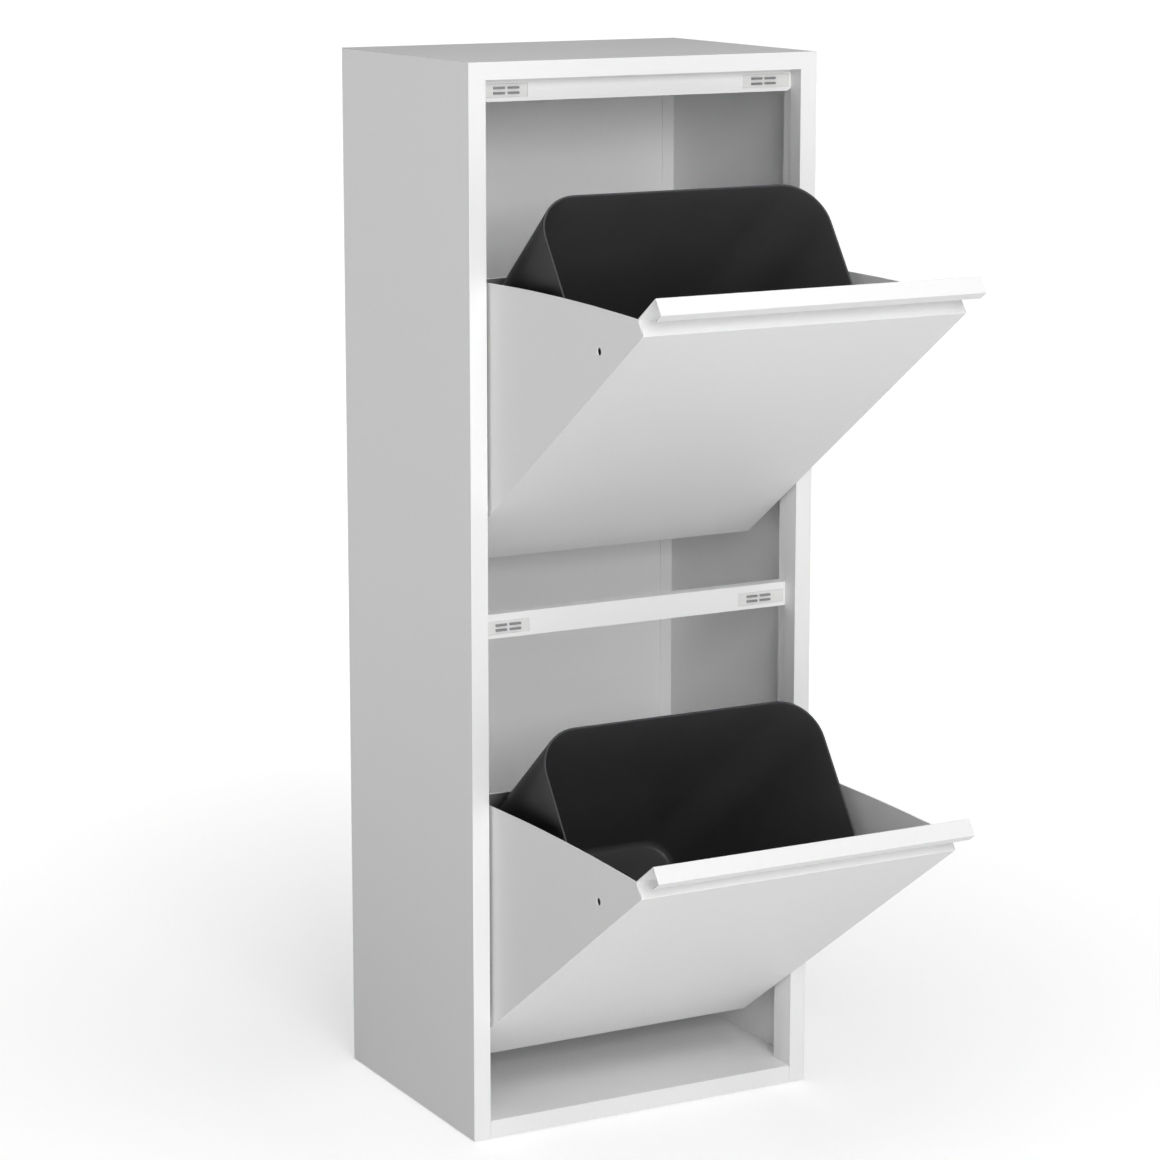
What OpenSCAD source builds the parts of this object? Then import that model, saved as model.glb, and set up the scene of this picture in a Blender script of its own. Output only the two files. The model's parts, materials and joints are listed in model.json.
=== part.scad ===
// Tall steel cabinet with two tilt-out bins, each holding a lift-out plastic bucket.
// The front faces -Y, X runs to the right and Z up. The origin is on the floor,
// at the middle of the cabinet's footprint. The bins are drawn tilted open.

/* [Cabinet] */
// Outside width
body_w = 340; // [280:1:420]
// Outside depth
body_d = 250; // [205:1:310]
// Outside height, from the floor
body_h = 942; // [780:1:1140]
// Thickness of the cabinet's sheet
steel_t = 1; // [0.8:0.05:1.3]
// Width of the folded rear and top flanges
flange_w = 12; // [10:0.5:16]
// Height of the glides under the base
glide_h = 1.5; // [1:0.1:3]

/* [Front frame] */
// Width of each upright stile on the front
stile_w = 16; // [13:0.5:20]
// Height of the flange above the opening
head_h = 15; // [12:0.5:20]
// Height of the floor above the ground
kick_h = 18; // [15:0.5:24]
// Depth of the posts behind the jambs
post_d = 12; // [10:0.5:15]
// How far the posts' faces sit behind the jamb faces
post_set = 0.6; // [0.3:0.1:1]
// Gap of the seam between kick and stile
seam = 0.2; // [0.1:0.05:0.4]

/* [Rails] */
// Height of a rail's face
rail_h = 21.5; // [19:0.5:26]
// From the top of the upper front down to the top rail's lower edge
top_rail_lap = 18; // [16:0.5:20]
// From the top of the lower front down to the middle rail's lower edge
middle_rail_lap = 24; // [23.5:0.5:28]
// Air between a closed front and the rails
rail_gap = 2; // [1.8:0.1:3]
// Radius of the top rail's lower end corners
rail_corner_r = 5; // [1:0.5:6]

/* [Catches] */
// Length of a catch's face
catch_l = 46.5; // [42:0.5:56]
// Height of a catch's face
catch_h = 11.2; // [10:0.2:13]
// Depth of a catch's body behind the rail's face
catch_d = 10; // [9:0.5:11]
// From the jamb to the near end of the catch
catch_in = 2; // [1.5:0.5:4]
// From the rail's lower edge up to the catch
catch_up = 3.7; // [3:0.1:4.5]
// Play of the catch in its window
catch_play = 0.15; // [0.1:0.05:0.3]
// Length of a pole strip
pole_l = 10.6; // [8:0.2:12]
// Thickness of a pole strip
pole_t = 1.8; // [1.4:0.1:2.2]
// Height between the two strips of a pair, middle to middle
pole_pitch = 4.4; // [3.8:0.1:5.2]
// Space between the two pairs
pole_gap = 2.9; // [2:0.1:4]
// From the jamb to the middle of the four strips
pole_in = 28; // [26:0.5:30]
// How far the strips stand out of the rail's face
pole_out = 1.6; // [1:0.1:1.7]

/* [Bins] */
// Thickness of the bins' sheet
bin_t = 1; // [0.8:0.05:1.3]
// Thickness of the boxed front
front_t = 15.5; // [13:0.5:19]
// Gap between front and stile
side_gap = 2.5; // [2.2:0.1:3.5]
// Gap above the upper front and below the lower front
end_gap = 1.5; // [1.2:0.1:2.5]
// Gap between the two fronts
middle_gap = 3; // [2:0.1:5]
// Height of the grip above the front's box
grip_h = 34.5; // [28:0.5:42]
// Height of the grip's lip
lip_h = 10; // [7:0.5:14]
// Air between the cradle's rear wall and the cabinet's back when closed
back_room = 62.5; // [52:0.5:75]
// Height of the cradle's rear wall
rear_h = 170; // [140:1:205]
// Rise of the curved edge of a wing over its chord
edge_rise = 3.5; // [1:0.5:6]
// Diameter of the small hole in each wing
wing_hole = 6.5; // [5:0.5:8]
// From the wing's front edge to the small hole
wing_hole_in = 24.2; // [20:0.2:30]
// From the top of the front's box down to the small hole
wing_hole_down = 70; // [60:1:84]

/* [Pivots and stops] */
// Angle of the open bins
open_angle = 55; // [45:1:66]
// From the front's face back to the pivot
pivot_in = 9.7; // [8:0.1:10.5]
// From the front's lower edge up to the pivot
pivot_up = 90.4; // [75:0.2:108]
// Diameter of the pivot pins
pin_d = 6; // [5:0.5:7]
// Radial play of a pin in its bush
pin_play = 0.05; // [0.02:0.01:0.1]
// Wall of a bush
bush_wall = 1.5; // [1.2:0.1:1.8]
// Diameter of a bush's collar
bush_collar = 14; // [12:0.5:15]
// Thickness of a bush's collar
bush_collar_t = 1.8; // [1.4:0.1:2]
// Diameter of a stop buffer
stop_d = 10; // [8:0.5:12]
// Length of a stop buffer outside the wing
stop_l = 10; // [8:0.5:12]
// Air left between buffer and post when the bin is open
stop_gap = 0.3; // [0.2:0.1:0.6]

/* [Buckets] */
// Wall of a bucket
bucket_wall = 2; // [1.6:0.1:3]
// Space between bucket rim and wing on each side
rim_side_room = 11.5; // [9:0.5:16]
// Space between bucket rim and liner
rim_front_room = 4.5; // [2:0.5:8]
// How far the rim reaches past the rear wall
rim_overhang = 6.5; // [4:0.5:9]
// From the top of the front's box down to the rim
rim_drop = 119.5; // [100:0.5:140]
// How much narrower the base is than the rim, on each side
side_taper = 16; // [12:0.5:20]
// How much narrower the base is than the rim, at the front
front_taper = 5; // [3:0.5:8]
// Air between the bucket and the top edge of the rear wall
rear_room = 0.66; // [0.4:0.02:1.2]
// Corner radius at the rim
rim_corner = 39; // [30:1:46]
// Corner radius at the base
base_corner = 29; // [22:1:34]
// Radius of the edge round the base
base_edge = 6; // [3:0.5:9]
// Air under the bucket
bucket_lift = 0.3; // [0.2:0.1:0.6]

/* [Wall fixing] */
// From the top down to the wall-fixing holes
fixing_down = 37; // [34:0.5:44]
// From each side to the wall-fixing hole
fixing_in = 50; // [40:1:60]
// Diameter of the wall-fixing holes
fixing_d = 6.5; // [5:0.1:8]

/* [Hidden] */
LOWER = 0;
UPPER = 1;
LEFT = -1;
RIGHT = 1;
$fn = 64;

// Cabinet: x from the left side, y from the front plane, z from the floor.
jamb_d = front_t + rail_gap;
post_end = jamb_d + post_d;
post_x = stile_w - post_set;
frame_z = glide_h + steel_t;
opening_w = body_w - 2 * stile_w;
opening_top = body_h - head_h;
mitre = steel_t * stile_w / head_h;
kick_corner_r = 3;

// Fronts.
front_w = opening_w - 2 * side_gap;
front_h = (opening_top - kick_h - 2 * end_gap - middle_gap) / 2;
box_h = front_h - grip_h;
front_z = [kick_h + end_gap, kick_h + end_gap + front_h + middle_gap];
wing_x = stile_w + side_gap;
cradle_d = body_d - back_room;

// Rails.
rail_z = [front_z[LOWER] + front_h - middle_rail_lap, front_z[UPPER] + front_h - top_rail_lap];
rail_corner = [0.5, rail_corner_r];
catch_x = stile_w + catch_in;
catch_rim = 1.5;
magnet_skin = 1.5;

// Pivots.
pin_r = pin_d / 2;
bush_bore_r = pin_r + pin_play;
bush_r = bush_bore_r + bush_wall;
bush_hole_r = bush_r + pin_play;
bush_tail = 4;
pin_end = stile_w - steel_t - bush_tail - 1 - wing_x;
pin_head_r = 4.5;
pin_head_t = 2;
pin_shoulder_t = 0.6;

// Stop buffers: behind the posts when the bin is open and as high as the wing lets them
// sit, then turned back to the closed bin.
stop_neck_r = 2.5;
stop_head_t = 1.5;
stop_inset = stop_d / 2 + 4;
stop_y = post_end + stop_gap + stop_d / 2 - pivot_in;
stop_z = min(
    (cradle_d - pivot_in) * sin(open_angle) + (rear_h - pivot_up) * cos(open_angle) - stop_inset,
    (cradle_d - stop_inset - pivot_in - stop_y * cos(open_angle)) / sin(open_angle)
);
stop_at = [
    pivot_in + stop_y * cos(open_angle) + stop_z * sin(open_angle),
    pivot_up - stop_y * sin(open_angle) + stop_z * cos(open_angle)
];

// Buckets.
rim_front = front_t + rim_front_room;
rim_rear = cradle_d + rim_overhang;
bucket_z = bin_t + bucket_lift;
bucket_h = box_h - rim_drop - bucket_z;
wall_share = 1 - (rear_h - bucket_z) / bucket_h;
rear_taper = (rim_overhang + bin_t + rear_room) / wall_share;
slice_t = 0.01;

// Rivets and glides.
rivet_r = 1.6;
rivet_head_r = 3.2;
rivet_head_h = 1;
rivet_tail_r = 2.4;
rivet_tail_h = 2;
rivet_rows = 5;
rivet_end = 45;
glide_r = 6;
glide_stem_r = 2.5;
glide_in = 40;

back_rivet_places = concat(
    [for (x = [steel_t + flange_w / 2, body_w - steel_t - flange_w / 2])
        for (i = [0 : rivet_rows - 1])
            [x, rivet_end + i * (body_h - 2 * rivet_end) / (rivet_rows - 1)]],
    [for (x = [body_w / 3, 2 * body_w / 3])
        for (z = [(frame_z + kick_h) / 2, body_h - steel_t - flange_w / 2])
            [x, z]]
);

// A block between two corners.
module block(low, high) {
    translate(low) cube(high - low);
}

// A rod along X.
module rod(x0, x1, y, z, r) {
    translate([x0, y, z]) rotate([0, 90, 0]) cylinder(r = r, h = x1 - x0);
}

// A rod along Y.
module peg(x, y0, y1, z, r) {
    translate([x, y0, z]) rotate([-90, 0, 0]) cylinder(r = r, h = y1 - y0);
}

// An outline in X and Z, drawn from y0 back to y1.
module upright_plate(y0, y1) {
    translate([0, y1, 0]) rotate([90, 0, 0]) linear_extrude(y1 - y0) children();
}

// A rectangle whose two lower corners are round.
module tab(l, h, r) {
    translate([r, 0]) square([l - 2 * r, h]);
    translate([0, r]) square([l, h - r]);
    translate([r, r]) circle(r);
    translate([l - r, r]) circle(r);
}

// Cabinet coordinates: left front corner on the floor.
module cabinet() {
    translate([-body_w / 2, -body_d / 2, 0]) children();
}

// Pieces are drawn for the left and mirrored for the right.
module on(side) {
    if (side == RIGHT) mirror([1, 0, 0]) children();
    else children();
}

// Bin coordinates of the closed bin (left lower front corner), tilted open.
module bin(level) {
    translate([0, pivot_in - body_d / 2, front_z[level] + pivot_up])
        rotate([open_angle, 0, 0])
            translate([-front_w / 2, -pivot_in, -pivot_up]) children();
}

// Side sheet: wall, stile, jamb return, bottom flange and rear flange.
module side_panel(side) {
    color("whitesmoke") on(side) cabinet() difference() {
        union() {
            block([0, 0, glide_h], [steel_t, body_d, body_h - steel_t]);
            upright_plate(0, steel_t) polygon([
                [0, glide_h],
                [stile_w, glide_h],
                [stile_w, opening_top],
                [mitre, body_h - steel_t],
                [0, body_h - steel_t]
            ]);
            block([stile_w - steel_t, 0, glide_h], [stile_w, jamb_d, opening_top]);
            block([0, 0, glide_h], [stile_w, body_d - 2 * steel_t, frame_z]);
            block([0, body_d - 2 * steel_t, glide_h],
                [steel_t + flange_w, body_d - steel_t, body_h - steel_t]);
        }
        for (level = [LOWER, UPPER])
            rod(stile_w - 2 * steel_t, stile_w + steel_t, pivot_in, front_z[level] + pivot_up, bush_hole_r);
        for (y = [glide_in, body_d - glide_in])
            translate([stile_w / 2, y, 0]) cylinder(r = glide_stem_r, h = kick_h);
        rivet_holes();
    }
}

// Top sheet: cover, mitred front flange, head return and rear flange.
module top_panel() {
    color("whitesmoke") cabinet() difference() {
        union() {
            block([0, 0, body_h - steel_t], [body_w, body_d, body_h]);
            upright_plate(0, steel_t) polygon([
                [stile_w, opening_top],
                [body_w - stile_w, opening_top],
                [body_w - mitre, body_h - steel_t],
                [mitre, body_h - steel_t]
            ]);
            block([stile_w, 0, opening_top], [body_w - stile_w, jamb_d, opening_top + steel_t]);
            block([steel_t + flange_w + seam, body_d - 2 * steel_t, body_h - steel_t - flange_w],
                [body_w - steel_t - flange_w - seam, body_d - steel_t, body_h - steel_t]);
        }
        rivet_holes();
    }
}

// Back sheet with the wall-fixing holes.
module back_panel() {
    color("whitesmoke") cabinet() difference() {
        block([steel_t, body_d - steel_t, glide_h], [body_w - steel_t, body_d, body_h - steel_t]);
        for (x = [fixing_in, body_w - fixing_in])
            peg(x, body_d - 2 * steel_t, body_d + steel_t, body_h - fixing_down, fixing_d / 2);
        rivet_holes();
    }
}

// Raised floor, the kick in front of it and the flanges under it.
module floor_pan() {
    under = kick_h - steel_t;
    front_x = stile_w + seam;
    rear_x = steel_t + flange_w + seam;
    color("whitesmoke") cabinet() difference() {
        union() {
            upright_plate(0, steel_t) intersection() {
                translate([front_x, glide_h]) square([body_w - 2 * front_x, kick_h - glide_h]);
                translate([front_x, kick_h]) mirror([0, 1])
                    tab(body_w - 2 * front_x, kick_h, kick_corner_r);
            }
            block([front_x, steel_t, under], [body_w - front_x, post_end, kick_h]);
            block([steel_t, post_end, under], [body_w - steel_t, body_d - 2 * steel_t, kick_h]);
            block([rear_x, body_d - 2 * steel_t, glide_h],
                [body_w - rear_x, body_d - steel_t, kick_h]);
            block([front_x, 0, glide_h], [body_w - front_x, front_t, frame_z]);
            for (x = [steel_t, body_w - 2 * steel_t])
                block([x, post_end, frame_z], [x + steel_t, body_d - 2 * steel_t, under]);
        }
        rivet_holes();
    }
}

// Channel behind the jamb, open towards the side wall.
module post(side) {
    color("gainsboro") on(side) cabinet() {
        block([steel_t, jamb_d, frame_z], [post_x, jamb_d + steel_t, body_h - steel_t]);
        block([post_x - steel_t, jamb_d, frame_z], [post_x, post_end, body_h - steel_t]);
        block([steel_t, post_end - steel_t, frame_z], [post_x, post_end, body_h - steel_t]);
    }
}

// Folded cross rail with its two catch windows.
module rail(level) {
    z = rail_z[level];
    r = rail_corner[level];
    color("whitesmoke") cabinet() difference() {
        union() {
            translate([post_x, 0, z]) upright_plate(jamb_d, jamb_d + steel_t)
                tab(body_w - 2 * post_x, rail_h, r);
            block([post_x, jamb_d, z + rail_h - steel_t], [body_w - post_x, post_end, z + rail_h]);
            block([post_x + r, jamb_d, z], [body_w - post_x - r, post_end, z + steel_t]);
        }
        for (x = [catch_x, body_w - catch_x - catch_l])
            block([x - catch_play, jamb_d - steel_t, z + catch_up - catch_play],
                [x + catch_l + catch_play, jamb_d + 2 * steel_t, z + catch_up + catch_h + catch_play]);
    }
}

// The four pole strips of one catch, grown by a margin at their ends.
module pole_set(level, y0, y1) {
    z = rail_z[level] + catch_up + catch_h / 2;
    for (x = [-pole_l - pole_gap / 2, pole_gap / 2], dz = [-pole_pitch / 2, pole_pitch / 2])
        block([stile_w + pole_in + x, y0, z + dz - pole_t / 2],
            [stile_w + pole_in + x + pole_l, y1, z + dz + pole_t / 2]);
}

// The two magnets of one catch, each between a pair of strips.
module magnet_set(level, y0, y1) {
    z = rail_z[level] + catch_up + catch_h / 2;
    magnet_h = pole_pitch - pole_t;
    for (x = [-pole_l - pole_gap / 2, pole_gap / 2])
        block([stile_w + pole_in + x, y0, z - magnet_h / 2],
            [stile_w + pole_in + x + pole_l, y1, z + magnet_h / 2]);
}

// Catch housing: face in the window, shoulder and body behind the rail.
module catch_housing(level, side) {
    z = rail_z[level] + catch_up;
    rear = jamb_d + catch_d;
    color("white") on(side) cabinet() difference() {
        union() {
            block([catch_x, jamb_d, z], [catch_x + catch_l, jamb_d + steel_t, z + catch_h]);
            block([catch_x - catch_rim, jamb_d + steel_t, z - catch_rim],
                [catch_x + catch_l + catch_rim, jamb_d + steel_t + catch_rim, z + catch_h + catch_rim]);
            block([catch_x, jamb_d + steel_t, z], [catch_x + catch_l, rear, z + catch_h]);
        }
        pole_set(level, jamb_d - steel_t, rear + steel_t);
        magnet_set(level, jamb_d + magnet_skin, rear + steel_t);
    }
}

// Steel pole strips of one catch.
module pole_strips(level, side) {
    color("dimgray") on(side) cabinet() pole_set(level, jamb_d - pole_out, jamb_d + catch_d);
}

// Magnet blocks of one catch.
module magnets(level, side) {
    color("black") on(side) cabinet() magnet_set(level, jamb_d + magnet_skin, jamb_d + catch_d);
}

// Flanged bush in the jamb.
module bush(level, side) {
    z = front_z[level] + pivot_up;
    color("ivory") on(side) cabinet() difference() {
        union() {
            rod(stile_w - steel_t - bush_tail, stile_w, pivot_in, z, bush_r);
            rod(stile_w, stile_w + bush_collar_t, pivot_in, z, bush_collar / 2);
        }
        rod(0, wing_x, pivot_in, z, bush_bore_r);
    }
}

// Holes for the rivets, through the back and the flange in front of it.
module rivet_holes() {
    for (p = back_rivet_places)
        peg(p[0], body_d - 3 * steel_t, body_d + steel_t, p[1], rivet_r);
}

// Rivets that hold the back sheet.
module back_rivets() {
    dome_r = (rivet_head_r * rivet_head_r + rivet_head_h * rivet_head_h) / (2 * rivet_head_h);
    color("silver") cabinet() for (p = back_rivet_places) {
        intersection() {
            translate([p[0], body_d + rivet_head_h - dome_r, p[1]]) sphere(dome_r);
            peg(p[0], body_d, body_d + 2 * rivet_head_h, p[1], rivet_head_r);
        }
        peg(p[0], body_d - 2 * steel_t - rivet_tail_h, body_d, p[1], rivet_r);
        peg(p[0], body_d - 2 * steel_t - rivet_tail_h, body_d - 2 * steel_t, p[1], rivet_tail_r);
    }
}

// Glides pressed into the bottom flanges.
module foot_glides() {
    color("dimgray") cabinet()
        for (x = [stile_w / 2, body_w - stile_w / 2], y = [glide_in, body_d - glide_in])
            translate([x, y, 0]) {
                cylinder(r = glide_r, h = glide_h);
                cylinder(r = glide_stem_r, h = frame_z + steel_t);
            }
}

// Front skin: face, lower return, shelf, grip plate, grip top and lip.
module front(level) {
    color("whitesmoke") bin(level) {
        block([0, 0, 0], [front_w, bin_t, box_h]);
        block([bin_t, 0, 0], [front_w - bin_t, front_t, bin_t]);
        block([bin_t, 0, box_h - bin_t], [front_w - bin_t, front_t, box_h]);
        block([0, front_t - bin_t, box_h], [front_w, front_t, front_h]);
        block([0, 0, front_h - bin_t], [front_w, front_t, front_h]);
        block([0, 0, front_h - lip_h], [front_w, bin_t, front_h]);
    }
}

// Inner skin of the boxed front.
module liner(level) {
    color("gainsboro") bin(level)
        block([bin_t, front_t - bin_t, bin_t], [front_w - bin_t, front_t, box_h - bin_t]);
}

// Points of the wing's curved edge, from the front's box to the rear wall.
function wing_edge() =
    let (
        from = [front_t, box_h],
        run = [cradle_d - front_t, rear_h - box_h],
        out = [-run[1], run[0]] / norm(run),
        steps = 12
    )
    [for (i = [0 : steps])
        let (s = i / steps)
        from + s * run + 4 * edge_rise * s * (1 - s) * out];

// Side plate of a bin.
module wing(level, side) {
    color("whitesmoke") on(side) bin(level) difference() {
        rotate([90, 0, 90]) linear_extrude(bin_t) polygon(concat(
            [[bin_t, box_h], [bin_t, 0], [cradle_d, 0]],
            [for (i = [len(wing_edge()) - 1 : -1 : 0]) wing_edge()[i]]
        ));
        rod(-bin_t, 2 * bin_t, wing_hole_in, box_h - wing_hole_down, wing_hole / 2);
        rod(-bin_t, 2 * bin_t, pivot_in, pivot_up, pin_r + pin_play);
        rod(-bin_t, 2 * bin_t, stop_at[0], stop_at[1], stop_neck_r);
    }
}

// Floor and rear wall that the bucket stands in.
module cradle(level) {
    color("gainsboro") bin(level) {
        block([bin_t, front_t, 0], [front_w - bin_t, cradle_d, bin_t]);
        block([bin_t, cradle_d - bin_t, 0], [front_w - bin_t, cradle_d, rear_h]);
    }
}

// Pivot pin: tail in the bush, shoulder outside the wing, head inside it.
module pivot_pin(level, side) {
    color("silver") on(side) bin(level) {
        rod(pin_end, bin_t, pivot_in, pivot_up, pin_r);
        rod(-pin_shoulder_t, 0, pivot_in, pivot_up, pin_head_r);
        rod(bin_t, bin_t + pin_head_t, pivot_in, pivot_up, pin_head_r);
    }
}

// Rubber stop buffer: body outside the wing, neck through it, head inside.
module stop_buffer(level, side) {
    color("dimgray") on(side) bin(level) {
        rod(-stop_l, 0, stop_at[0], stop_at[1], stop_d / 2);
        rod(0, bin_t, stop_at[0], stop_at[1], stop_neck_r);
        rod(bin_t, bin_t + stop_head_t, stop_at[0], stop_at[1], stop_d / 2 - 1);
    }
}

// A rounded rectangle of the bucket, stepped in from the rim by a share of the
// taper and by an inset, at one height.
module bucket_slice(share, inset, z) {
    x0 = bin_t + rim_side_room + share * side_taper + inset;
    y0 = rim_front + share * front_taper + inset;
    y1 = rim_rear - share * rear_taper - inset;
    r = rim_corner + share * (base_corner - rim_corner) - inset;
    translate([0, 0, z]) linear_extrude(slice_t) hull()
        for (x = [x0 + r, front_w - x0 - r], y = [y0 + r, y1 - r])
            translate([x, y]) circle(r);
}

// Tapered bucket with a rounded base edge.
module bucket(level) {
    edge_share = 1 - base_edge / bucket_h;
    color([0.12, 0.12, 0.13]) bin(level) translate([0, 0, bucket_z]) difference() {
        hull() {
            bucket_slice(1, base_edge, 0);
            bucket_slice(1, base_edge * (1 - cos(45)), base_edge * (1 - sin(45)));
            bucket_slice(edge_share, 0, base_edge);
            bucket_slice(0, 0, bucket_h - slice_t);
        }
        hull() {
            bucket_slice(1, bucket_wall + base_edge, bucket_wall);
            bucket_slice(edge_share, bucket_wall, base_edge + bucket_wall);
            bucket_slice(0, bucket_wall, bucket_h);
        }
    }
}

side_panel(LEFT);  // side_left
side_panel(RIGHT);  // side_right
top_panel();
back_panel();
floor_pan();
post(LEFT);  // post_left
post(RIGHT);  // post_right
rail(UPPER);  // rail_top
rail(LOWER);  // rail_middle
catch_housing(UPPER, LEFT);  // catch_top_left
catch_housing(UPPER, RIGHT);  // catch_top_right
catch_housing(LOWER, LEFT);  // catch_middle_left
catch_housing(LOWER, RIGHT);  // catch_middle_right
pole_strips(UPPER, LEFT);  // poles_top_left
pole_strips(UPPER, RIGHT);  // poles_top_right
pole_strips(LOWER, LEFT);  // poles_middle_left
pole_strips(LOWER, RIGHT);  // poles_middle_right
magnets(UPPER, LEFT);  // magnets_top_left
magnets(UPPER, RIGHT);  // magnets_top_right
magnets(LOWER, LEFT);  // magnets_middle_left
magnets(LOWER, RIGHT);  // magnets_middle_right
bush(UPPER, LEFT);  // bush_upper_left
bush(UPPER, RIGHT);  // bush_upper_right
bush(LOWER, LEFT);  // bush_lower_left
bush(LOWER, RIGHT);  // bush_lower_right
back_rivets();
foot_glides();
front(UPPER);  // front_upper
liner(UPPER);  // liner_upper
wing(UPPER, LEFT);  // wing_upper_left
wing(UPPER, RIGHT);  // wing_upper_right
cradle(UPPER);  // cradle_upper
pivot_pin(UPPER, LEFT);  // pin_upper_left
pivot_pin(UPPER, RIGHT);  // pin_upper_right
stop_buffer(UPPER, LEFT);  // stop_upper_left
stop_buffer(UPPER, RIGHT);  // stop_upper_right
front(LOWER);  // front_lower
liner(LOWER);  // liner_lower
wing(LOWER, LEFT);  // wing_lower_left
wing(LOWER, RIGHT);  // wing_lower_right
cradle(LOWER);  // cradle_lower
pivot_pin(LOWER, LEFT);  // pin_lower_left
pivot_pin(LOWER, RIGHT);  // pin_lower_right
stop_buffer(LOWER, LEFT);  // stop_lower_left
stop_buffer(LOWER, RIGHT);  // stop_lower_right
bucket(UPPER);  // bucket_upper
bucket(LOWER);  // bucket_lower
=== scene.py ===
import json
import math

import bmesh
import bpy
from bpy.props import FloatProperty, FloatVectorProperty, IntProperty, PointerProperty
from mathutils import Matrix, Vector


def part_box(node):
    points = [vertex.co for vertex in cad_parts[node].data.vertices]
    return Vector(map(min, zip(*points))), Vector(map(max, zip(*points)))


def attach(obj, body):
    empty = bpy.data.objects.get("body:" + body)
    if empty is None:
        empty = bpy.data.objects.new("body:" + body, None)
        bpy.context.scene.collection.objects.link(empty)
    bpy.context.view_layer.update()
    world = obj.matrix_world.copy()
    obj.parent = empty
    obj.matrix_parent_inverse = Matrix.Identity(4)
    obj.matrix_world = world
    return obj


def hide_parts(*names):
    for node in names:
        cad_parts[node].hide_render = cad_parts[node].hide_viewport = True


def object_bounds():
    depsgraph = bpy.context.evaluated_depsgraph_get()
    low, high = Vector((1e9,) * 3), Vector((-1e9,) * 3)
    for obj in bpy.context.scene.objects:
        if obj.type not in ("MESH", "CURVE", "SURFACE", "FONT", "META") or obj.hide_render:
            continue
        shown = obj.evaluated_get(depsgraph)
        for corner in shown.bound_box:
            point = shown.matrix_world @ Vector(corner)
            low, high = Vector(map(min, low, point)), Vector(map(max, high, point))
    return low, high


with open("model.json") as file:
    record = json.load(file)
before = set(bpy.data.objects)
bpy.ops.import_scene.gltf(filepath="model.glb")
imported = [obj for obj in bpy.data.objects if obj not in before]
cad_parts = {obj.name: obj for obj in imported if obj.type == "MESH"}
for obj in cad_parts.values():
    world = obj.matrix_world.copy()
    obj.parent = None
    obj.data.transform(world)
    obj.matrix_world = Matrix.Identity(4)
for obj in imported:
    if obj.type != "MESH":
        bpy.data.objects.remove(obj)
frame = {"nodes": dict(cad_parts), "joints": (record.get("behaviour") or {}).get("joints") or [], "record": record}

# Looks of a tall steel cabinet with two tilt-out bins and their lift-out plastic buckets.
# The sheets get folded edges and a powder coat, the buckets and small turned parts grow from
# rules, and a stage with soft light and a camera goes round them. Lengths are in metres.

bl_info = {
    "name": "Tilt-out cabinet looks",
    "version": (1, 0, 0),
    "blender": (4, 5, 0),
    "location": "3D View > Sidebar > Cabinet",
    "description": "Finishes a tilt-out steel cabinet: folded sheets, catches, pivots and buckets",
    "category": "Object",
}

MM = 0.001
# An edge that turns by more than a crease is rounded or sharp. One that turns by less than the
# other angle is no edge at all.
CREASE = math.radians(25)
FLAT = math.radians(0.5)
# The cosine above which an edge counts as running along an axis.
STRAIGHT = 0.9999
# Points closer than this are one point, on a CAD node's mesh and on a grown one.
SAME_POINT = 0.002 * MM
SAME_GROWN_POINT = 0.001 * MM
# A face narrower than this is the cut edge of a sheet.
CUT_FACE = 3 * MM
# Steps in a rounded edge, in a corner of a stud's profile and of a bucket's, and round a stud.
EDGE_STEPS = 3
STUD_CORNER_STEPS = 4
BUCKET_CORNER_STEPS = 8
STUD_STEPS = 48
# Width of the camera's film, in millimetres.
FILM_WIDTH = 36.0
LEVELS = ("upper", "lower")
SIDES = ("left", "right")
CARCASS = "carcass"
CARCASS_SHEETS = (
    "side_left", "side_right", "top_panel", "back_panel", "floor_pan",
    "post_left", "post_right", "rail_top", "rail_middle",
)
CATCHES = ("top_left", "top_right", "middle_left", "middle_right")
AXES = (Vector((1, 0, 0)), Vector((0, 1, 0)), Vector((0, 0, 1)))
FRAME_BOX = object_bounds()


# ---------------------------------------------------------------- node trees


class Wire:
    """An outlet of a node. Sums and products of wires add Math nodes."""

    def __init__(self, board, socket):
        self.board = board
        self.socket = socket

    def outlet(self, name):
        """Another outlet of the same node."""
        return Wire(self.board, self.socket.node.outputs[name])

    def __add__(self, other):
        return self.board.maths("ADD", self, other)

    def __radd__(self, other):
        return self.board.maths("ADD", other, self)

    def __sub__(self, other):
        return self.board.maths("SUBTRACT", self, other)

    def __rsub__(self, other):
        return self.board.maths("SUBTRACT", other, self)

    def __mul__(self, other):
        return self.board.maths("MULTIPLY", self, other)

    def __rmul__(self, other):
        return self.board.maths("MULTIPLY", other, self)

    def __truediv__(self, other):
        return self.board.maths("DIVIDE", self, other)

    def __rtruediv__(self, other):
        return self.board.maths("DIVIDE", other, self)


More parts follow.
